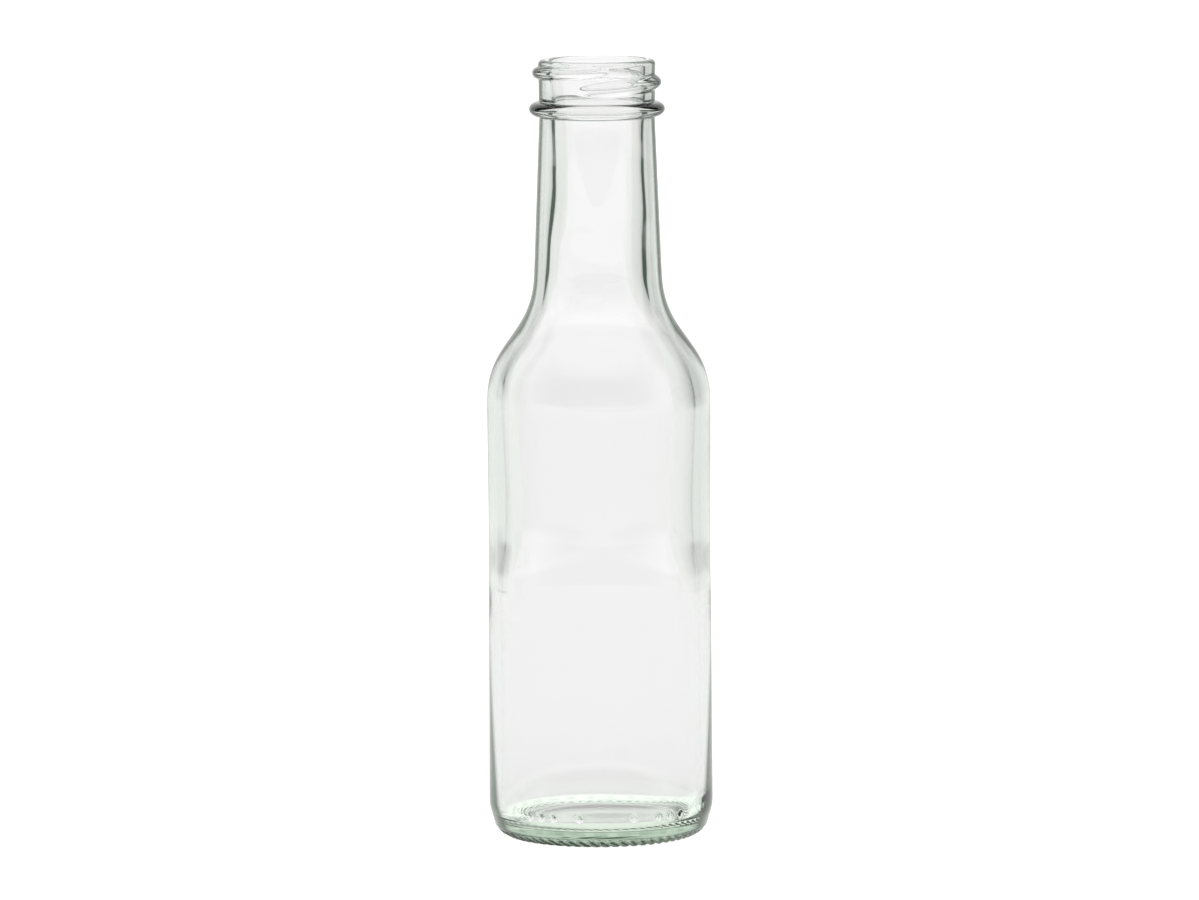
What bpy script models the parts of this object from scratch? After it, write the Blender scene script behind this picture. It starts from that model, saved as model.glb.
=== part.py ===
"""A clear glass sauce bottle: slim neck, rounded shoulder, straight body, screw finish, empty and uncapped. Metres, +Z up, standing on z = 0."""

import bmesh
import bpy
from math import acos, atan2, ceil, cos, pi, radians, sin, sqrt
from mathutils import Vector

MM = 0.001

# Overall
HEIGHT = 165.0 * MM
SEGMENTS = 60  # facets round the axis
CHORD = 0.08 * MM  # how far a straight facet may stand off a fillet

# Outside, radii at named heights
LIP_R = 12.48 * MM
LIP_FILLET = 1.0 * MM
FINISH_R = 12.34 * MM  # the wall that carries the thread
BEAD_R = 14.38 * MM
BEAD_Z = 154.55 * MM
BEAD_HALF = 1.60 * MM
NECK_TOP_R = 12.24 * MM
NECK_TOP_Z = 152.4 * MM
NECK_FOOT_R = 13.82 * MM  # neck and shoulder lines meet here
NECK_FOOT_Z = 112.9 * MM
SHOULDER_FOOT_Z = 99.05 * MM  # shoulder and body lines meet here
SHOULDER_FILLET_IN = 19.5 * MM
SHOULDER_FILLET_OUT = 18.2 * MM
BODY_R = 23.76 * MM
WAIST_R = 23.50 * MM
WAIST_Z = 60.0 * MM
BELOW_WAIST_R = 23.64 * MM
BELOW_WAIST_Z = 49.0 * MM
HEEL_R = 23.80 * MM
HEEL_TOP_Z = 6.15 * MM
HEEL_FOOT_R = 22.05 * MM
BEARING_OUT_R = 19.7 * MM
BEARING_IN_R = 18.7 * MM
PUSH_UP_FOOT_R = 16.3 * MM
PUSH_UP_FOOT_Z = 1.26 * MM
PUSH_UP = 2.7 * MM

# Inside
BORE_LIP_R = 10.0 * MM
BORE_MID_R = 9.30 * MM
BORE_MID_Z = 142.0 * MM
BORE_FOOT_R = 10.05 * MM
BORE_FOOT_Z = 114.8 * MM
CAVITY_SHOULDER_Z = 98.7 * MM
CAVITY_R = 20.30 * MM
THICK_BAND_R = 19.68 * MM  # the wall is thickest here
THICK_BAND_Z = 65.5 * MM
CAVITY_MID_R = 20.45 * MM
CAVITY_MID_Z = 88.0 * MM
CAVITY_LOW_R = 21.10 * MM
CAVITY_LOW_Z = 54.0 * MM
CAVITY_BOTTOM_R = 21.30 * MM
FLOOR_EDGE_Z = 3.35 * MM
FLOOR_R = 12.0 * MM
FLOOR_Z = 5.3 * MM

# Thread: right-hand, a little over one turn
THREAD_PITCH = 3.96 * MM
THREAD_START = radians(-112)
THREAD_END = radians(283)
THREAD_Z_RIGHT = 160.2 * MM  # height where it passes +X
THREAD_PROUD = 1.32 * MM
THREAD_HALF_START = 1.60 * MM
THREAD_HALF_END = 1.20 * MM
THREAD_ROOT_R = 11.6 * MM
THREAD_RUN_IN = radians(38)
THREAD_RUN_OUT = radians(34)

# Knurled bearing ring
KNURLS = 62
KNURL_DEPTH = 0.22 * MM
KNURL_GAP = 0.95 * MM
KNURL_LENGTH = 5.2 * MM
KNURL_LEAN = radians(-31)

# Round mould dots on the front of the heel
DOT_STEP = radians(7.05)
DOT_FIRST = radians(-90 - 39.6)
DOT_PLACES = (0, 1, 2, 4, 8, 10, 11, 12)
DOT_Z = 6.6 * MM
DOT_R = 0.80 * MM
DOT_PROUD = 0.35 * MM


def clear():
    for obj in list(bpy.data.objects):
        bpy.data.objects.remove(obj, do_unlink=True)


def group(name):
    made = bpy.data.collections.new(name)
    bpy.context.scene.collection.children.link(made)
    return made


def glass_material():
    mat = bpy.data.materials.new("Clear_Glass")
    mat.use_nodes = True
    shader = mat.node_tree.nodes["Principled BSDF"]
    shader.inputs["Base Color"].default_value = (0.86, 0.90, 0.86, 1.0)
    shader.inputs["Roughness"].default_value = 0.04
    shader.inputs["Metallic"].default_value = 0.0
    shader.inputs["IOR"].default_value = 1.52
    shader.inputs["Transmission Weight"].default_value = 1.0
    return mat


def rounded(corners):
    """Points of a path of straight runs whose corners (r, z, fillet) are rounded by tangent arcs."""
    points = [(corners[0][0], corners[0][1])]
    for before, here, after in zip(corners, corners[1:], corners[2:]):
        p, a, b = (Vector(c[:2]) for c in (here, before, after))
        u, v = (a - p).normalized(), (b - p).normalized()
        turn = pi - u.angle(v)
        radius = here[2]
        if radius <= 0 or turn < radians(0.3):
            points.append(tuple(p))
            continue
        reach = radius * (1 - cos(turn)) / sin(turn)
        centre = p + (u + v).normalized() * sqrt(radius**2 + reach**2)
        start, end = p + u * reach, p + v * reach
        a0 = atan2(start.y - centre.y, start.x - centre.x)
        a1 = atan2(end.y - centre.y, end.x - centre.x)
        sweep = (a1 - a0 + pi) % (2 * pi) - pi
        steps = max(1, ceil(abs(sweep) / (2 * acos(1 - CHORD / radius)) - 0.2))
        for i in range(steps + 1):
            t = a0 + sweep * i / steps
            points.append((centre.x + radius * cos(t), centre.y + radius * sin(t)))
    points.append((corners[-1][0], corners[-1][1]))
    return points


def bead(steps=5):
    """Half an ellipse that stands out of the neck, from its top to its foot."""
    points = []
    for i in range(steps + 1):
        t = pi * i / steps
        wall = NECK_TOP_R
        points.append((wall + (BEAD_R - wall) * sin(t), BEAD_Z + BEAD_HALF * cos(t)))
    return points


def profile():
    """Up the inside from the middle of the floor, over the lip, down the outside and under the base."""
    inside = rounded(
        [
            (0.0, FLOOR_Z, 0),
            (FLOOR_R, FLOOR_Z - 0.67 * MM, 0),
            (CAVITY_BOTTOM_R, FLOOR_EDGE_Z, 2.1 * MM),
            (CAVITY_LOW_R, CAVITY_LOW_Z, 0),
            (THICK_BAND_R, THICK_BAND_Z, 0),
            (CAVITY_MID_R, CAVITY_MID_Z, 0),
            (CAVITY_R, CAVITY_SHOULDER_Z, 16 * MM),
            (BORE_FOOT_R, BORE_FOOT_Z, 20 * MM),
            (BORE_MID_R, BORE_MID_Z, 0),
            (BORE_LIP_R, HEIGHT, LIP_FILLET),
            (LIP_R, HEIGHT, LIP_FILLET),
            (FINISH_R, HEIGHT - 3 * MM, 0),
            (FINISH_R - 0.04 * MM, BEAD_Z + BEAD_HALF + 0.25 * MM, 0),
        ]
    )
    body = rounded(
        [
            (NECK_TOP_R, NECK_TOP_Z, 0),
            (NECK_FOOT_R, NECK_FOOT_Z, SHOULDER_FILLET_IN),
            (BODY_R, SHOULDER_FOOT_Z, SHOULDER_FILLET_OUT),
            (WAIST_R, WAIST_Z, 0),
            (BELOW_WAIST_R, BELOW_WAIST_Z, 0),
            (HEEL_R, HEEL_TOP_Z, 11.7 * MM),
            (HEEL_FOOT_R, 0.0, 3.1 * MM),
            (BEARING_IN_R, 0.0, 0.8 * MM),
            (PUSH_UP_FOOT_R, PUSH_UP_FOOT_Z, 0),
            (0.0, PUSH_UP, 0),
        ]
    )
    return inside + bead() + body


def mesh_object(name, where, vertices, edges=(), faces=()):
    mesh = bpy.data.meshes.new(name)
    mesh.from_pydata(vertices, edges, faces)
    mesh.update()
    obj = bpy.data.objects.new(name, mesh)
    where.objects.link(obj)
    return obj


def turned_shell(where, mat):
    points = profile()
    vertices = [(r, 0.0, z) for r, z in points]
    edges = [(i, i + 1) for i in range(len(points) - 1)]
    shell = mesh_object("bottle", where, vertices, edges)
    shell.data.materials.append(mat)
    turn = shell.modifiers.new("Turn", "SCREW")
    turn.axis = "Z"
    turn.angle = 2 * pi
    turn.steps = turn.render_steps = SEGMENTS
    turn.use_merge_vertices = True
    turn.merge_threshold = 0.00001
    turn.use_smooth_shade = True
    return shell


def ease(t):
    t = min(1.0, max(0.0, t))
    return t * t * (3 - 2 * t)


def thread_ridge(where):
    """A ridge lofted along a rising turn round the finish, its two ends running back into the wall."""
    sections = ceil((THREAD_END - THREAD_START) / (2 * pi / SEGMENTS))
    across = 5
    vertices, faces = [], []
    for i in range(sections + 1):
        share = i / sections
        turn = THREAD_START + (THREAD_END - THREAD_START) * share
        z = THREAD_Z_RIGHT + THREAD_PITCH * turn / (2 * pi)
        rise = ease((turn - THREAD_START) / THREAD_RUN_IN) * ease((THREAD_END - turn) / THREAD_RUN_OUT)
        proud = -0.35 * MM + (THREAD_PROUD + 0.35 * MM) * rise
        half = (THREAD_HALF_START + (THREAD_HALF_END - THREAD_HALF_START) * share) * (0.35 + 0.65 * sqrt(rise))
        ring = [(THREAD_ROOT_R, -half), (THREAD_ROOT_R, half)]
        for j in range(across + 1):
            a = pi * j / across
            base = FINISH_R - 0.25 * MM
            ring.append((base + (proud + 0.25 * MM) * sin(a) ** 0.8, half * cos(a)))
        for r, dz in ring:
            vertices.append((r * cos(turn), r * sin(turn), z + dz))
    n = across + 3
    for i in range(sections):
        for j in range(n):
            k = (j + 1) % n
            faces.append((i * n + j, i * n + k, (i + 1) * n + k, (i + 1) * n + j))
    faces.append(tuple(reversed(range(n))))
    faces.append(tuple(sections * n + j for j in range(n)))
    ridge = mesh_object("Thread_Ridge", where, vertices, (), faces)
    outward(ridge)
    return ridge


def outward(obj):
    shape = bmesh.new()
    shape.from_mesh(obj.data)
    bmesh.ops.recalc_face_normals(shape, faces=shape.faces)
    shape.to_mesh(obj.data)
    shape.free()


def knurl_gaps(where):
    """Slanted shallow slots across the bearing ring, one between each two knurls."""
    shape = bmesh.new()
    middle = (BEARING_IN_R + BEARING_OUT_R) / 2 + 0.65 * MM
    for i in range(KNURLS):
        turn = 2 * pi * (i + 0.5) / KNURLS
        made = bmesh.ops.create_cube(shape, size=1.0)["verts"]
        for v in made:
            x = v.co.x * KNURL_LENGTH
            y = v.co.y * KNURL_GAP
            z = v.co.z * 2 * KNURL_DEPTH
            lx, ly = x * cos(KNURL_LEAN) - y * sin(KNURL_LEAN), x * sin(KNURL_LEAN) + y * cos(KNURL_LEAN)
            lx += middle
            v.co = (lx * cos(turn) - ly * sin(turn), lx * sin(turn) + ly * cos(turn), z)
    bmesh.ops.recalc_face_normals(shape, faces=shape.faces)
    gaps = mesh_object("Knurl_Gaps", where, [])
    shape.to_mesh(gaps.data)
    shape.free()
    return gaps


def mould_dots(where):
    """Low round bumps on the heel."""
    shape = bmesh.new()
    for place in DOT_PLACES:
        turn = DOT_FIRST + DOT_STEP * place
        made = bmesh.ops.create_uvsphere(shape, u_segments=8, v_segments=4, radius=1.0)["verts"]
        for v in made:
            out = HEEL_R - 0.12 * MM + v.co.z * DOT_PROUD
            side, up = v.co.x * DOT_R, v.co.y * DOT_R
            v.co = (
                out * cos(turn) - side * sin(turn),
                out * sin(turn) + side * cos(turn),
                DOT_Z + up,
            )
    bmesh.ops.recalc_face_normals(shape, faces=shape.faces)
    dots = mesh_object("Mould_Dots", where, [])
    shape.to_mesh(dots.data)
    shape.free()
    return dots


def combine(target, tool, operation, name):
    mod = target.modifiers.new(name, "BOOLEAN")
    mod.operation = operation
    mod.solver = "EXACT"
    mod.object = tool


def main():
    clear()
    parts = group("Sauce_Bottle")
    tools = group("Cutters")
    bottle = turned_shell(parts, glass_material())
    combine(bottle, thread_ridge(tools), "UNION", "Thread")
    combine(bottle, mould_dots(tools), "UNION", "Dots")
    combine(bottle, knurl_gaps(tools), "DIFFERENCE", "Knurls")
    for tool in tools.objects:
        tool.hide_render = True
        tool.display_type = "WIRE"


main()
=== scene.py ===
"""Looks for the clear glass sauce bottle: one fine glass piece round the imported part, a pale floor, soft light and the photograph's camera. Lengths of the bottle are in millimetres until the mesh is made."""

import math

import bmesh
import bpy
import numpy as np
from mathutils import Matrix, Vector


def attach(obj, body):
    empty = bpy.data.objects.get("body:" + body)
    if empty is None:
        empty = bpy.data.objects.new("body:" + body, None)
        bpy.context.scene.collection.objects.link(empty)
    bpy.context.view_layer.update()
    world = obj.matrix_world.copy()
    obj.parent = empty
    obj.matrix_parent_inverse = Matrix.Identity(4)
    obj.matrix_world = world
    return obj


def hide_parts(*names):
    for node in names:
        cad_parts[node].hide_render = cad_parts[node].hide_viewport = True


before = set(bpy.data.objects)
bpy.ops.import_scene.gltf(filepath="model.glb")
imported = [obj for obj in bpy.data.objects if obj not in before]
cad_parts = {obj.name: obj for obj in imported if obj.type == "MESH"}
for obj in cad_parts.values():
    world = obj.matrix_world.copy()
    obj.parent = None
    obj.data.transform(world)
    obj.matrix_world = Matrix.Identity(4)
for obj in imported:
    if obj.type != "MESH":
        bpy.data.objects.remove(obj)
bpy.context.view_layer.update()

MM = 0.001
PI = math.pi

# ---------------------------------------------------------------- outline

HEIGHT = 165.0
LIP_R = 12.48
LIP_FILLET = 1.0
FINISH_R = 12.34
BEAD_R = 14.38
BEAD_Z = 154.55
BEAD_HALF = 1.60
NECK_TOP_R = 12.24
NECK_TOP_Z = 152.4


def dome(top, radius, places):
    """Corners along a shallow spherical dome."""
    return tuple((r, top - r * r / (2 * radius), 0) for r in places)


INSIDE = (
    *dome(5.3, 108.0, (0.0, 3.0, 6.0, 9.0, 12.0, 15.0, 17.5)),
    (21.30, 3.35, 2.1),
    (21.00, 45.0, 20),
    (21.10, 53.5, 25),
    (20.40, 88.0, 25),
    (20.30, 98.7, 16),
    (10.05, 114.8, 20),
    (9.30, 142.0, 60),
    (9.72, 157.0, 60),
    (10.0, HEIGHT, LIP_FILLET),
    (LIP_R, HEIGHT, LIP_FILLET),
    (FINISH_R, HEIGHT - 3.0, 8),
    (FINISH_R - 0.04, BEAD_Z + BEAD_HALF, 0),
)
OUTSIDE = (
    (NECK_TOP_R, BEAD_Z - BEAD_HALF, 0),
    (NECK_TOP_R, NECK_TOP_Z, 2),
    (13.82, 112.9, 19.5),
    (23.76, 99.05, 18.2),
    (23.50, 60.0, 60),
    (23.64, 49.0, 60),
    (23.80, 6.15, 11.7),
    (22.05, 0.0, 3.1),
    (18.7, 0.0, 0.8),
    *dome(2.7, 92.0, (16.3, 14.0, 11.0, 8.0, 5.0, 2.5, 0.0)),
)


def rounded(corners, chord=0.0008):
    """Points of straight runs whose corners (r, z, fillet) are rounded by tangent arcs."""
    points = [(corners[0][0], corners[0][1])]
    for before, here, after in zip(corners, corners[1:], corners[2:]):
        p, a, b = (Vector(c[:2]) for c in (here, before, after))
        u, v = (a - p).normalized(), (b - p).normalized()
        turn = PI - u.angle(v)
        radius = here[2]
        if radius <= 0 or turn < 1e-4:
            points.append(tuple(p))
            continue
        reach = radius * (1 - math.cos(turn)) / math.sin(turn)
        centre = p + (u + v).normalized() * math.sqrt(radius**2 + reach**2)
        start, end = p + u * reach, p + v * reach
        a0 = math.atan2(start.y - centre.y, start.x - centre.x)
        a1 = math.atan2(end.y - centre.y, end.x - centre.x)
        sweep = (a1 - a0 + PI) % (2 * PI) - PI
        steps = max(2, math.ceil(abs(sweep) / (2 * math.acos(1 - chord / radius))))
        for i in range(steps + 1):
            t = a0 + sweep * i / steps
            points.append((centre.x + radius * math.cos(t), centre.y + radius * math.sin(t)))
    points.append((corners[-1][0], corners[-1][1]))
    return points


def bead_points(steps=60):
    return [
        (NECK_TOP_R + (BEAD_R - NECK_TOP_R) * math.sin(PI * i / steps), BEAD_Z + BEAD_HALF * math.cos(PI * i / steps))
        for i in range(1, steps)
    ]


def resample(points, step):
    p = np.array(points)
    keep = np.r_[True, np.hypot(*np.diff(p, axis=0).T) > 1e-7]
    p = p[keep]
    s = np.r_[0, np.cumsum(np.hypot(*np.diff(p, axis=0).T))]
    n = int(round(s[-1] / step))
    at = np.linspace(0, s[-1], n + 1)
    return np.c_[np.interp(at, s, p[:, 0]), np.interp(at, s, p[:, 1])], at


def soften(points, step, sigma):
    """A running Gaussian mean of the outline, each stretch with a width of its own, both ends held."""
    widths = sorted(set(np.round(sigma, 3)))
    layers = []
    for w in widths:
        half = int(4 * w / step) + 1
        k = np.exp(-0.5 * (np.arange(-half, half + 1) * step / w) ** 2)
        k /= k.sum()
        padded = np.pad(points, ((half, half), (0, 0)), mode="reflect", reflect_type="odd")
        layers.append(np.c_[np.convolve(padded[:, 0], k, "valid"), np.convolve(padded[:, 1], k, "valid")])
    layers = np.array(layers)
    place = np.interp(sigma, widths, np.arange(len(widths)))
    low = np.clip(np.floor(place).astype(int), 0, len(widths) - 1)
    high = np.clip(low + 1, 0, len(widths) - 1)
    share = (place - low)[:, None]
    rows = np.arange(len(points))
    return layers[low, rows] * (1 - share) + layers[high, rows] * share


STEP = 0.04
path, along = resample(rounded(INSIDE) + bead_points() + rounded(OUTSIDE), STEP)
top = int(np.argmax(path[:, 1]))  # first point on the lip's crown
inner = np.arange(len(path)) < top
r0, z0 = path[:, 0], path[:, 1]


def ramp(x, a, b):
    t = np.clip((np.asarray(x, float) - a) / (b - a), 0, 1)
    return t * t * (3 - 2 * t)


# how much each stretch is softened: least at the lip, finish and bearing ring, most on the plain walls
wide = np.where(
    inner,
    0.25 + 1.75 * ramp(z0, 6.5, 14) * (1 - ramp(z0, 156, 162)) + 1.0 * ramp(z0, 86, 97) * (1 - ramp(z0, 118, 130)),
    0.10 + 1.4 * ramp(z0, 5.0, 14) * (1 - ramp(z0, 140, 150)),
)
smooth_width = np.convolve(np.pad(wide, 40, mode="edge"), np.ones(81) / 81, "valid")
curve = soften(path, STEP, np.maximum(0.08, smooth_width))
curve[:, 1] += ramp(along, along[top] - 12, along[top]) * (1 - ramp(along, along[top], along[top] + 12)) * (HEIGHT - curve[:, 1].max())
curve[0, 0] = curve[-1, 0] = 0.0
tangent = np.gradient(curve, axis=0)
tangent /= np.hypot(*tangent.T)[:, None]
normal = np.c_[-tangent[:, 1], tangent[:, 0]]  # out of the glass on both faces
bend = np.abs(np.gradient(np.unwrap(np.arctan2(tangent[:, 1], tangent[:, 0])), STEP))
bend = np.convolve(np.pad(bend, 10, mode="edge"), np.ones(21) / 21, "valid")

# ---------------------------------------------------------------- rings

N_PLAIN, N_FINISH, N_BASE = 124, 248, 744
KNURLS = 62

cr, cz = curve[:, 0], curve[:, 1]
base_zone = (~inner) & (cz < 8.4) & ((cr > 17.6))
finish_zone = ((~inner) & (cz > 152.4)) | (inner & (cz > 163.2))
spacing = np.minimum(2.2, np.sqrt(8 * 0.0022 / np.maximum(bend, 1e-6)))
spacing = np.where((~inner) & (cz > 156.7) & (cz < 164.4), np.minimum(spacing, 0.135), spacing)
spacing = np.where((~inner) & (cz > 5.5) & (cz < 7.8), np.minimum(spacing, 0.17), spacing)
spacing = np.where((~inner) & (cz < 3.0) & (cr > 18.2), np.minimum(spacing, 0.17), spacing)
spacing = np.convolve(np.pad(spacing, 8, mode="edge"), np.ones(17) / 17, "valid")
spacing[:30] = 0.6
spacing[-30:] = 0.6

stations = [0]
run = 0.0
for i in range(1, len(curve) - 1):
    run += STEP / spacing[i]
    if run >= 1.0:
        stations.append(i)
        run = 0.0
stations.append(len(curve) - 1)
if along[-1] - along[stations[-2]] < 0.3:
    del stations[-2]

# ---------------------------------------------------------------- relief

THREAD_PITCH = 3.96
THREAD_START = math.radians(-112)
THREAD_END = math.radians(283)
THREAD_Z_RIGHT = 160.2
THREAD_PROUD = 1.32
THREAD_RUN_IN = math.radians(38)
THREAD_RUN_OUT = math.radians(34)

DOT_STEP = math.radians(7.05)
DOT_FIRST = math.radians(-90 - 39.6)
DOT_PLACES = (0, 1, 2, 4, 8, 10, 11, 12)
# painted shade: how dark the rim of each mould dot is painted
DOT_RIM_SHADE = (0.8, 0.7, 0.7, 0.6, 0.3, 0.8, 0.9, 0.9)
DOT_Z = 6.6
DOT_R = 0.80
DOT_PROUD = 0.46

KNURL_DEPTH = 0.26
LEDGE = 0.18
LEDGE_Z = 1.95
KNURL_LEAN = 0.30  # turn of the bars per millimetre across the ring, in bar pitches


def thread_height(theta, z):
    """How far the thread stands off the wall."""
    out = np.zeros_like(theta)
    for lap in (-1, 0, 1):
        turn = theta + 2 * PI * lap
        inside = (turn >= THREAD_START) & (turn <= THREAD_END)
        share = np.clip((turn - THREAD_START) / (THREAD_END - THREAD_START), 0, 1)
        middle = THREAD_Z_RIGHT + THREAD_PITCH * turn / (2 * PI)
        rise = ramp(turn, THREAD_START, THREAD_START + THREAD_RUN_IN) * (1 - ramp(turn, THREAD_END - THREAD_RUN_OUT, THREAD_END))
        half = (1.62 - 0.42 * share) * (0.38 + 0.62 * np.sqrt(np.maximum(rise, 0)))
        blunt = 0.95 - 0.45 * ramp(share, 0.3, 0.75)
        high = np.zeros_like(theta)
        for shift in (-0.08, 0.0, 0.08):
            s = (z - middle) / half + shift
            high += np.maximum(1e-9, 1 - s * s) ** blunt * (np.abs(s) < 1) / 3
        out = np.maximum(out, np.where(inside, THREAD_PROUD * rise * high, 0))
    return out


def dot_height(theta, z):
    out = np.zeros_like(theta)
    for place in DOT_PLACES:
        centre = DOT_FIRST + DOT_STEP * place
        off = (theta - centre + PI) % (2 * PI) - PI
        d2 = ((off * 23.8) ** 2 + (z - DOT_Z) ** 2) / DOT_R**2
        out = np.maximum(out, DOT_PROUD * np.maximum(0, 1 - d2) ** 0.65)
    return out


def knurl_depth(theta, r, z):
    """Slanted bars across the bearing ring; between them the glass is lower."""
    ring = ramp(r, 18.2, 19.2)
    band = (1 - ramp(z, 1.45, 1.80)) * ring
    across = (r - 20.0) + z
    phase = KNURLS * theta + 2 * PI * KNURL_LEAN * across
    return LEDGE * (1 - ramp(z, LEDGE_Z - 0.12, LEDGE_Z + 0.10)) * ring * ramp(r, 20.0, 21.0) + KNURL_DEPTH * band * (0.5 - 0.5 * np.cos(phase)) ** 2.0


WAVES = []
seed = 0.37
for i in range(26):
    seed = (seed * 997.0 + 0.613) % 1.0
    a = seed
    seed = (seed * 991.0 + 0.271) % 1.0
    b = seed
    seed = (seed * 983.0 + 0.459) % 1.0
    WAVES.append((1 + int(a * 9), 0.12 + 1.1 * b**2, seed * 2 * PI))


def unevenness(theta, z):
    """Smooth small waves of the blown inside face, about 1 either way."""
    out = np.zeros_like(theta)
    for n, k, phase in WAVES:
        out += np.sin(n * theta + k * z + phase) / (1 + 0.12 * n + 1.2 * k)
    return out / 3.0


def displaced(i, theta):
    """Radius and height of one ring of the surface."""
    r, z = curve[i]
    nr, nz = normal[i]
    z_all = np.full_like(theta, z)
    if inner[i]:
        neck = ramp(z, 104, 120) * (1 - ramp(z, 158, 164))
        body = ramp(z, 10, 20) * (1 - ramp(z, 98, 108))
        off = 0.035 * neck * unevenness(theta, z_all) + 0.02 * body * unevenness(theta, z_all * 0.4 + 40)
        off -= 0.30 * ramp(z, 104, 118) * (1 - ramp(z, 122, 134)) * np.cos(theta)
        off -= 0.40 * ramp(z, 122, 136) * (1 - ramp(z, 157, 161)) * np.maximum(0, -np.cos(theta)) ** 2
        off -= 0.18 * ramp(z, 91, 99) * (1 - ramp(z, 103, 108)) * np.cos(theta)
        # the wall is thicker in a band round the body, most of all at the two sides
        band = ramp(z, 53.0, 65.5) * (1 - ramp(z, 68.0, 94.0))
        off -= band * (0.42 + 0.43 * np.cos(theta) ** 2)
        # a thicker corner at the right of the floor
        off -= 1.0 * np.maximum(0, np.cos(theta + 0.15)) ** 3 * math.exp(-(((z - 4.8) / 2.4) ** 2)) * ramp(r, 14, 19)
        fade = ramp(r, 2, 12)
        return r + off * fade, z_all
    push = np.zeros_like(theta)
    if 156.0 < z < 165.0:
        push = thread_height(theta, z_all)
        return r + push, z_all
    if 5.4 < z < 7.9 and r > 20:
        push = dot_height(theta, z_all)
        return r + push, z_all
    if z < 2.1 and r > 18.0:
        push = -knurl_depth(theta, r, z)
    return r + push * nr, z_all + push * nz


# ---------------------------------------------------------------- mesh


def ring_size(i):
    if base_zone[i]:
        return N_BASE
    if finish_zone[i]:
        return N_FINISH
    return N_PLAIN


def dot_shade(theta, z):
    """Painted shade on the rim at one side of each mould dot, 0 to 1."""
    out = np.zeros_like(theta)
    for place, depth in zip(DOT_PLACES, DOT_RIM_SHADE):
        centre = DOT_FIRST + DOT_STEP * place
        across = ((theta - centre + PI) % (2 * PI) - PI) * 23.8 / DOT_R
        up = (z - DOT_Z) / DOT_R
        d = np.sqrt(across**2 + up**2) + 1e-6
        side = (0.8 * across + 0.6 * up) / d
        out = np.maximum(out, depth * ramp(d, 0.40, 0.60) * (1 - ramp(d, 0.85, 1.05)) * ramp(side, 0.0, 0.7))
    return out


def seat_shade(theta, r, z):
    """Painted shade between the knurls and in the seam over them, 0 to 1; higher up, the painted rims of the mould
    dots.
    """
    if z > 5.4:
        return dot_shade(theta, z)
    ring = ramp(r, 18.2, 19.2)
    across = (r - 20.0) + z
    phase = KNURLS * theta + 2 * PI * KNURL_LEAN * across
    gap = (1 - ramp(z, 1.10, 1.40)) * ramp(r, 19.5, 20.0) * ramp(0.5 - 0.5 * np.cos(phase), 0.38, 0.66)
    # painted shade: a dark line along the seam and a broken dark line above it
    seam = math.exp(-(((z - LEDGE_Z) / 0.17) ** 2)) * (0.80 + 0.20 * np.sin(9 * theta + 1.0))
    seam = seam + 0.45 * math.exp(-(((z - 2.75) / 0.10) ** 2)) * ramp(np.sin(31 * theta) + 0.5 * np.sin(57 * theta), -0.6, 0.6)
    return np.minimum(1.0, ring * np.maximum(gap, seam))


vertices, faces, rings, faces_out, shades = [], [], [], [], []
for i in stations:
    if i == 0 or i == len(curve) - 1:
        rings.append((len(vertices), 1))
        vertices.append((0.0, 0.0, cz[i]))
        faces_out.append(0.0)
        shades.append(0.0)
        continue
    n = ring_size(i)
    theta = -PI + 2 * PI * np.arange(n) / n
    r, z = displaced(i, theta)
    rings.append((len(vertices), n))
    vertices.extend(zip(r * np.cos(theta), r * np.sin(theta), z))
    faces_out.extend([0.0 if inner[i] or cr[i] < 16.0 and cz[i] < 5.0 else 1.0] * n)
    # painted shade at the knurls, the seam and the mould dots, one value per point
    shades.extend(seat_shade(theta, cr[i], cz[i]) if base_zone[i] else [0.0] * n)

for (a, na), (b, nb) in zip(rings, rings[1:]):
    if na == 1:
        faces += [(a, b + j, b + (j + 1) % nb) for j in range(nb)]
    elif nb == 1:
        faces += [(a + j, b, a + (j + 1) % na) for j in range(na)]
    elif na == nb:
        faces += [(a + j, b + j, b + (j + 1) % nb, a + (j + 1) % na) for j in range(na)]
    else:
        flip = na > nb
        few, n_few, many, n_many = (b, nb, a, na) if flip else (a, na, b, nb)
        k = n_many // n_few
        for j in range(n_few):
            c0, c1 = few + j, few + (j + 1) % n_few
            fine = [many + (j * k + m) % n_many for m in range(k + 1)]
            mid = k // 2
            tris = [(c0, fine[m], fine[m + 1]) for m in range(mid)]
            tris.append((c0, fine[mid], c1))
            tris += [(c1, fine[m], fine[m + 1]) for m in range(mid, k)]
            faces += [t[::-1] for t in tris] if flip else tris

mesh = bpy.data.meshes.new("glass_bottle")
mesh.from_pydata([(x * MM, y * MM, z * MM) for x, y, z in vertices], [], faces)
mesh.update()
shape = bmesh.new()
shape.from_mesh(mesh)
bmesh.ops.recalc_face_normals(shape, faces=shape.faces)
if shape.calc_volume(signed=True) < 0:
    bmesh.ops.reverse_faces(shape, faces=shape.faces)
print("glass_bottle: triangles", sum(len(f.verts) - 2 for f in shape.faces), "glass cm3", round(shape.calc_volume() * 1e6, 2))
print("open edges", sum(1 for e in shape.edges if len(e.link_faces) != 2))
shape.to_mesh(mesh)
shape.free()
mesh.shade_smooth()
mesh.attributes.new("outer_face", "FLOAT", "POINT").data.foreach_set("value", faces_out)
mesh.attributes.new("seat_shade", "FLOAT", "POINT").data.foreach_set("value", shades)
bottle = bpy.data.objects.new("glass_bottle", mesh)
bpy.context.scene.collection.objects.link(bottle)

# ---------------------------------------------------------------- materials


def node(tree, kind, **values):
    made = tree.nodes.new(kind)
    for key, value in values.items():
        setattr(made, key, value)
    return made


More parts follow.
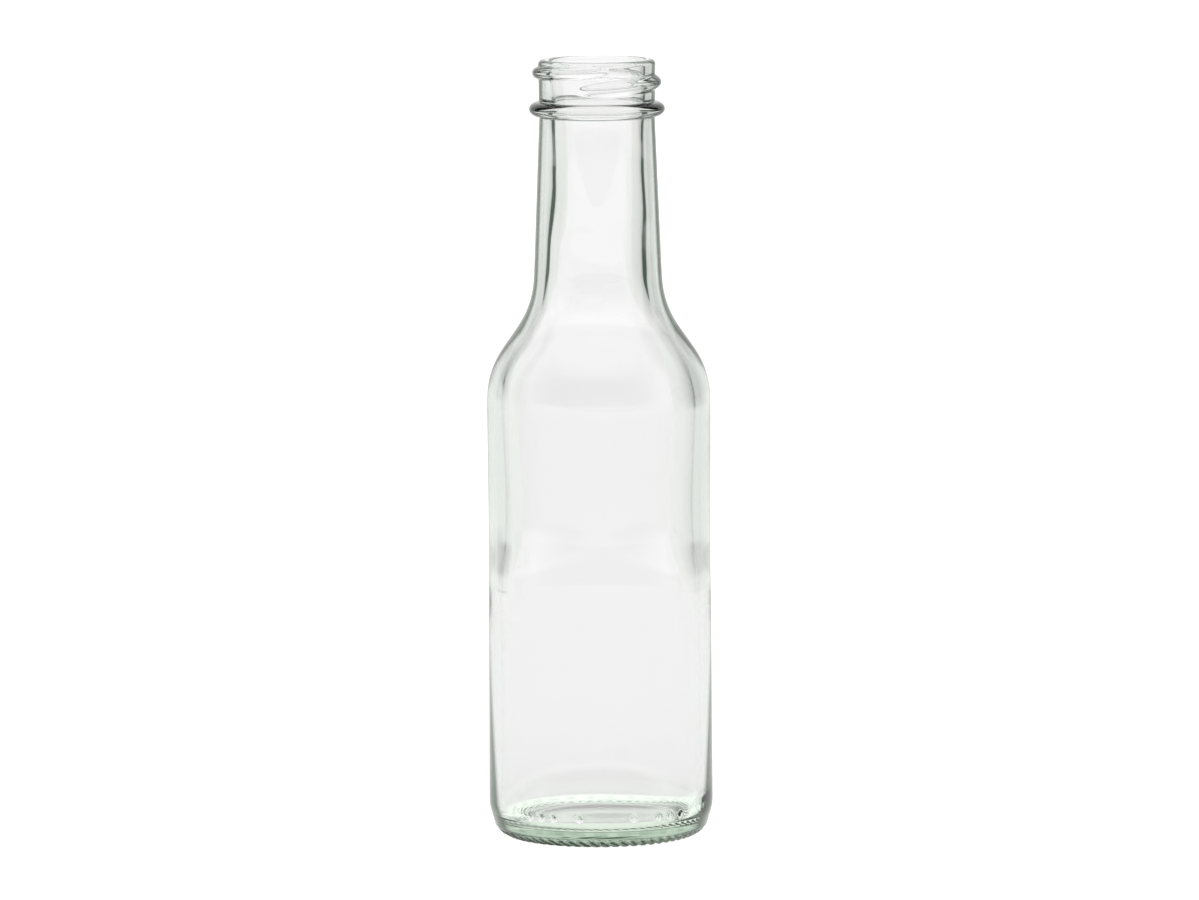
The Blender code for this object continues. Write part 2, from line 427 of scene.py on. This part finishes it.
def glass_material():
    mat = bpy.data.materials.new("clear_glass")
    mat.use_nodes = True
    tree = mat.node_tree
    shader = tree.nodes["Principled BSDF"]
    output = tree.nodes["Material Output"]
    shader.inputs["Base Color"].default_value = (1.0, 1.0, 1.0, 1.0)
    shader.inputs["IOR"].default_value = 1.52
    shader.inputs["Transmission Weight"].default_value = 1.0
    # painted shade: on the outer face the glass colour turns dark green where the glass is seen at a grazing angle,
    # which draws a thin grey line along the edges; where this starts differs with height
    slope = node(tree, "ShaderNodeLayerWeight")
    slope.inputs["Blend"].default_value = 0.5
    edge = node(tree, "ShaderNodeMapRange", interpolation_type="SMOOTHSTEP")
    wall = node(tree, "ShaderNodeMapRange")
    wall.inputs["From Min"].default_value = 0.098
    wall.inputs["From Max"].default_value = 0.108
    wall.inputs["To Min"].default_value = 0.81
    wall.inputs["To Max"].default_value = 0.57
    heel = node(tree, "ShaderNodeMapRange")
    heel.inputs["From Min"].default_value = 0.004
    heel.inputs["From Max"].default_value = 0.045
    heel.inputs["To Min"].default_value = 0.52
    heel.inputs["To Max"].default_value = 0.81
    least = node(tree, "ShaderNodeMath", operation="MINIMUM")
    height = node(tree, "ShaderNodeSeparateXYZ")
    reach = node(tree, "ShaderNodeMath", operation="ADD")
    reach.inputs[1].default_value = 0.12
    outer = node(tree, "ShaderNodeAttribute", attribute_name="outer_face")
    grazing = node(tree, "ShaderNodeMath", operation="MULTIPLY")
    seat = node(tree, "ShaderNodeAttribute", attribute_name="seat_shade")
    # painted shade: the glass colour turns near-black green where seat_shade is high
    painted_seat_shade = node(tree, "ShaderNodeMix", data_type="RGBA")
    painted_seat_shade.inputs["B"].default_value = (0.002, 0.014, 0.003, 1.0)
    tint_and_edge_shade = node(tree, "ShaderNodeMix", data_type="RGBA")
    # the thick glass of the base shows a little more green
    base = node(tree, "ShaderNodeMapRange")
    base.inputs["From Min"].default_value = 0.004
    base.inputs["From Max"].default_value = 0.012
    clear = node(tree, "ShaderNodeMix", data_type="RGBA")
    clear.inputs["A"].default_value = (0.984, 1.0, 0.978, 1.0)
    clear.inputs["B"].default_value = (1.0, 0.982, 0.998, 1.0)
    # painted shade: the dark green that the edge line is painted in
    tint_and_edge_shade.inputs["B"].default_value = (0.014, 0.030, 0.014, 1.0)
    tree.links.new(slope.outputs["Facing"], edge.inputs["Value"])
    tree.links.new(edge.outputs["Result"], grazing.inputs[0])
    tree.links.new(outer.outputs["Fac"], grazing.inputs[1])
    tree.links.new(grazing.outputs[0], tint_and_edge_shade.inputs["Factor"])
    tree.links.new(tint_and_edge_shade.outputs["Result"], painted_seat_shade.inputs["A"])
    tree.links.new(seat.outputs["Fac"], painted_seat_shade.inputs["Factor"])
    tree.links.new(painted_seat_shade.outputs["Result"], shader.inputs["Base Color"])
    where = node(tree, "ShaderNodeTexCoord")
    tree.links.new(where.outputs["Object"], height.inputs["Vector"])
    tree.links.new(height.outputs["Z"], wall.inputs["Value"])
    tree.links.new(height.outputs["Z"], heel.inputs["Value"])
    tree.links.new(height.outputs["Z"], base.inputs["Value"])
    tree.links.new(base.outputs["Result"], clear.inputs["Factor"])
    tree.links.new(clear.outputs["Result"], tint_and_edge_shade.inputs["A"])
    tree.links.new(wall.outputs["Result"], least.inputs[0])
    tree.links.new(heel.outputs["Result"], least.inputs[1])
    tree.links.new(least.outputs[0], edge.inputs["From Min"])
    tree.links.new(least.outputs[0], reach.inputs[0])
    tree.links.new(reach.outputs[0], edge.inputs["From Max"])
    # slow swells of the formed surface and a faint orange peel
    swell = node(tree, "ShaderNodeTexNoise")
    swell.inputs["Scale"].default_value = 90.0
    swell.inputs["Detail"].default_value = 1.0
    peel = node(tree, "ShaderNodeTexNoise")
    peel.inputs["Scale"].default_value = 420.0
    peel.inputs["Detail"].default_value = 2.0
    total = node(tree, "ShaderNodeMath", operation="MULTIPLY_ADD")
    total.inputs[1].default_value = 0.12
    bump = node(tree, "ShaderNodeBump")
    bump.inputs["Strength"].default_value = 0.012
    bump.inputs["Distance"].default_value = 0.0004
    haze = node(tree, "ShaderNodeMapRange")
    haze.inputs["From Min"].default_value = 0.35
    haze.inputs["From Max"].default_value = 0.75
    haze.inputs["To Min"].default_value = 0.0
    haze.inputs["To Max"].default_value = 0.02
    for texture in (swell, peel):
        tree.links.new(where.outputs["Object"], texture.inputs["Vector"])
    tree.links.new(peel.outputs["Fac"], total.inputs[0])
    tree.links.new(swell.outputs["Fac"], total.inputs[2])
    tree.links.new(total.outputs[0], bump.inputs["Height"])
    tree.links.new(bump.outputs["Normal"], shader.inputs["Normal"])
    tree.links.new(swell.outputs["Fac"], haze.inputs["Value"])
    tree.links.new(haze.outputs["Result"], shader.inputs["Roughness"])
    inside = node(tree, "ShaderNodeVolumeAbsorption")
    inside.inputs["Color"].default_value = (0.20, 0.45, 0.22, 1.0)
    inside.inputs["Density"].default_value = 20.0
    tree.links.new(inside.outputs["Volume"], output.inputs["Volume"])
    return mat


def floor_material():
    mat = bpy.data.materials.new("pale_floor")
    mat.use_nodes = True
    tree = mat.node_tree
    shader = tree.nodes["Principled BSDF"]
    shader.inputs["Specular IOR Level"].default_value = 0.0
    grain = node(tree, "ShaderNodeTexNoise")
    grain.inputs["Scale"].default_value = 60.0
    tone = node(tree, "ShaderNodeMapRange")
    tone.inputs["To Min"].default_value = 0.90
    tone.inputs["To Max"].default_value = 0.93
    rough = node(tree, "ShaderNodeMapRange")
    rough.inputs["To Min"].default_value = 0.8
    rough.inputs["To Max"].default_value = 0.95
    where = node(tree, "ShaderNodeTexCoord")
    tree.links.new(where.outputs["Object"], grain.inputs["Vector"])
    tree.links.new(grain.outputs["Fac"], tone.inputs["Value"])
    tree.links.new(grain.outputs["Fac"], rough.inputs["Value"])
    # painted shade: the floor's colour is a touch darker within about a metre of the set
    reach = node(tree, "ShaderNodeVectorMath", operation="LENGTH")
    depth = node(tree, "ShaderNodeMapRange", interpolation_type="SMOOTHSTEP")
    depth.inputs["From Min"].default_value = 0.75
    depth.inputs["From Max"].default_value = 1.15
    depth.inputs["To Min"].default_value = 0.925
    depth.inputs["To Max"].default_value = 0.985
    paint = node(tree, "ShaderNodeMath", operation="MULTIPLY")
    tree.links.new(where.outputs["Object"], reach.inputs[0])
    tree.links.new(reach.outputs["Value"], depth.inputs["Value"])
    tree.links.new(tone.outputs["Result"], paint.inputs[0])
    tree.links.new(depth.outputs["Result"], paint.inputs[1])
    tree.links.new(paint.outputs[0], shader.inputs["Base Color"])
    tree.links.new(rough.outputs["Result"], shader.inputs["Roughness"])
    # the studio floor is lit a little past white
    light_path = node(tree, "ShaderNodeLightPath")
    lift = node(tree, "ShaderNodeMath", operation="MULTIPLY")
    lift.inputs[1].default_value = 0.30
    tree.links.new(light_path.outputs["Is Camera Ray"], lift.inputs[0])
    # the emission is white for camera rays and green for other rays, so the painted glow is green where the glass sees
    # it
    hue = node(tree, "ShaderNodeMix", data_type="RGBA")
    hue.inputs["A"].default_value = (0.88, 1.0, 0.86, 1.0)
    hue.inputs["B"].default_value = (1.0, 1.0, 1.0, 1.0)
    tree.links.new(light_path.outputs["Is Camera Ray"], hue.inputs["Factor"])
    tree.links.new(hue.outputs["Result"], shader.inputs["Emission Color"])
    # painted light: the floor glows right under the bottle, standing in for light that the glass gathers there
    glow = node(tree, "ShaderNodeMapRange", interpolation_type="SMOOTHSTEP")
    glow.inputs["From Min"].default_value = 0.022
    glow.inputs["From Max"].default_value = 0.050
    glow.inputs["To Min"].default_value = 0.54
    glow.inputs["To Max"].default_value = 0.0
    both = node(tree, "ShaderNodeMath", operation="ADD")
    tree.links.new(reach.outputs["Value"], glow.inputs["Value"])
    tree.links.new(lift.outputs[0], both.inputs[0])
    tree.links.new(glow.outputs["Result"], both.inputs[1])
    tree.links.new(both.outputs[0], shader.inputs["Emission Strength"])
    return mat


def card_material():
    """Studio cards round the set, from pale to black. Light on its way to the floor passes them as if they were white."""
    mat = bpy.data.materials.new("studio_card")
    mat.use_nodes = True
    tree = mat.node_tree
    tree.nodes.remove(tree.nodes["Principled BSDF"])
    shade = node(tree, "ShaderNodeAttribute", attribute_name="card_tone")
    light_path = node(tree, "ShaderNodeLightPath")
    white = node(tree, "ShaderNodeMath", operation="GREATER_THAN")
    white.inputs[1].default_value = 0.5
    pick = node(tree, "ShaderNodeMix", data_type="RGBA")
    pick.inputs["B"].default_value = (LIGHT, LIGHT, LIGHT, 1.0)
    glow = node(tree, "ShaderNodeEmission")
    tree.links.new(light_path.outputs["Diffuse Depth"], white.inputs[0])
    tree.links.new(white.outputs[0], pick.inputs["Factor"])
    tree.links.new(shade.outputs["Color"], pick.inputs["A"])
    tree.links.new(pick.outputs["Result"], glow.inputs["Color"])
    tree.links.new(glow.outputs["Emission"], tree.nodes["Material Output"].inputs["Surface"])
    return mat


LIGHT = 1.16  # brightness of the open studio
glass = glass_material()
mesh.materials.clear()
mesh.materials.append(glass)
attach(bottle, "root")
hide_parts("bottle")

# ---------------------------------------------------------------- stage

floor_mesh = bpy.data.meshes.new("floor")
SIDE = 12.0
floor_mesh.from_pydata([(-SIDE, -SIDE, 0), (SIDE, -SIDE, 0), (SIDE, SIDE, 0), (-SIDE, SIDE, 0)], [], [(0, 1, 2, 3)])
floor = bpy.data.objects.new("floor", floor_mesh)
floor_mesh.materials.append(floor_material())
bpy.context.scene.collection.objects.link(floor)


def card(name, stops, radius=0.36, height=0.55, low=0.60, spot=0.0):
    """An upright curved card that only the glass sees. Stops are (degrees from +Y, positive towards -X; tone). Low down it is paler."""
    angles = [a for a, tone in stops]
    steps = int(round(abs(angles[-1] - angles[0])))
    heights = (0.001, 0.005, 0.010, 0.0115, 0.0130, 0.0150, 0.0170, 0.0185, 0.0200, 0.030, 0.050, 0.062, 0.068, 0.074, 0.082, 0.16, height)
    points, tones, quads = [], [], []
    for i in range(steps + 1):
        deg = angles[0] + (angles[-1] - angles[0]) * i / steps
        a = math.radians(deg)
        order = np.argsort(angles)
        tone = float(np.interp(deg, np.array(angles)[order], np.array([t for _, t in stops])[order]))
        for j, z in enumerate(heights):
            points.append((-radius * math.sin(a), radius * math.cos(a), z))
            lift = 1.0 - (1.0 - low) * float(ramp(z, 0.001, 0.014)) - low * float(ramp(z, 0.064, 0.083))
            lift *= 1.0 - spot * float(ramp(z, 0.0100, 0.0130) * (1 - ramp(z, 0.0170, 0.0200)))
            tones.append(tone + (1.0 - tone) * lift)
    n = len(heights)
    for i in range(steps):
        for j in range(n - 1):
            quads.append((n * i + j, n * i + n + j, n * i + n + j + 1, n * i + j + 1))
    made = bpy.data.meshes.new(name)
    made.from_pydata(points, [], quads)
    layer = made.attributes.new("card_tone", "FLOAT_COLOR", "POINT")
    layer.data.foreach_set("color", [c for t in tones for c in (max(0.030, 0.985 * t), max(0.066, t), max(0.036, 0.98 * t), 1.0)])
    made.materials.append(cardboard)
    obj = bpy.data.objects.new(name, made)
    bpy.context.scene.collection.objects.link(obj)
    obj.visible_camera = obj.visible_diffuse = obj.visible_shadow = False
    return obj


cardboard = card_material()
card("card_left", [(16, 1.0), (24, 0.94), (34, 0.86), (42, 0.78), (49, 0.62), (52, 0.0), (61, 0.0), (65, 0.90), (70, 1.0), (80, 1.0), (84, 0.60), (91, 0.60), (95, 1.0)], low=0.80, spot=0.90)
card("card_right", [(-12, 1.0), (-22, 0.88), (-32, 0.74), (-42, 0.76), (-50, 0.70), (-54, 0.0), (-68, 0.0), (-72, 0.60), (-79, 0.65), (-83, 0.45), (-91, 0.45), (-96, 0.80), (-102, 1.0)], low=0.66)

world = bpy.data.worlds.new("studio")
bpy.context.scene.world = world
world.use_nodes = True
tree = world.node_tree
for old in list(tree.nodes):
    tree.nodes.remove(old)
out = node(tree, "ShaderNodeOutputWorld")
where = node(tree, "ShaderNodeTexCoord")
split = node(tree, "ShaderNodeSeparateXYZ")
tree.links.new(where.outputs["Generated"], split.inputs["Vector"])
overhead = node(tree, "ShaderNodeMapRange", interpolation_type="SMOOTHSTEP")
overhead.inputs["From Min"].default_value = 0.30
overhead.inputs["From Max"].default_value = 0.75
overhead.inputs["To Min"].default_value = 1.06
overhead.inputs["To Max"].default_value = 1.30
tree.links.new(split.outputs["Z"], overhead.inputs["Value"])
behind = node(tree, "ShaderNodeMapRange", interpolation_type="SMOOTHSTEP")
behind.inputs["From Min"].default_value = -0.75
behind.inputs["From Max"].default_value = 0.05
behind.inputs["To Min"].default_value = 0.22
behind.inputs["To Max"].default_value = 1.0
tree.links.new(split.outputs["Y"], behind.inputs["Value"])
above = node(tree, "ShaderNodeMapRange", interpolation_type="SMOOTHSTEP")  # the light over the set reaches forward
above.inputs["From Min"].default_value = 0.35
above.inputs["From Max"].default_value = 0.70
open_sky = node(tree, "ShaderNodeMath", operation="MAXIMUM")
tree.links.new(split.outputs["Z"], above.inputs["Value"])
tree.links.new(above.outputs["Result"], open_sky.inputs[0])
tree.links.new(behind.outputs["Result"], open_sky.inputs[1])
studio = node(tree, "ShaderNodeMath", operation="MULTIPLY")
tree.links.new(overhead.outputs["Result"], studio.inputs[0])
tree.links.new(open_sky.outputs[0], studio.inputs[1])
light_path = node(tree, "ShaderNodeLightPath")
lit = node(tree, "ShaderNodeMath", operation="GREATER_THAN")
lit.inputs[1].default_value = 0.5
tree.links.new(light_path.outputs["Diffuse Depth"], lit.inputs[0])
plain = node(tree, "ShaderNodeMath", operation="MAXIMUM")
tree.links.new(light_path.outputs["Is Camera Ray"], plain.inputs[0])
tree.links.new(lit.outputs[0], plain.inputs[1])
seen = node(tree, "ShaderNodeBackground")
seen.inputs["Color"].default_value = (1.0, 1.0, 1.0, 1.0)
seen.inputs["Strength"].default_value = LIGHT
around = node(tree, "ShaderNodeBackground")
around.inputs["Color"].default_value = (1.0, 1.0, 1.0, 1.0)
tree.links.new(studio.outputs[0], around.inputs["Strength"])
mix = node(tree, "ShaderNodeMixShader")
tree.links.new(plain.outputs[0], mix.inputs["Fac"])
tree.links.new(around.outputs[0], mix.inputs[1])
tree.links.new(seen.outputs[0], mix.inputs[2])
tree.links.new(mix.outputs[0], out.inputs["Surface"])

# ---------------------------------------------------------------- camera

IMAGE_W, IMAGE_H = 1199, 900
FOCUS_PX = 8172.0
cam_data = bpy.data.cameras.new("camera")
cam_data.sensor_width = 36.0
cam_data.lens = 36.0 * FOCUS_PX / IMAGE_W
cam_data.clip_start, cam_data.clip_end = 0.05, 60.0
camera = bpy.data.objects.new("camera", cam_data)
bpy.context.scene.collection.objects.link(camera)
eye = Vector((0.0, -1.720, 0.2903))
aim = Vector((0.0001, 0.0, 0.0820))
look = (aim - eye).to_track_quat("-Z", "Y").to_matrix().to_4x4()
camera.matrix_world = Matrix.Translation(eye) @ look @ Matrix.Rotation(math.radians(-0.35), 4, "Z")
bpy.context.scene.camera = camera
bpy.context.scene.view_settings.view_transform = "Standard"
bpy.context.scene.view_settings.look = "None"
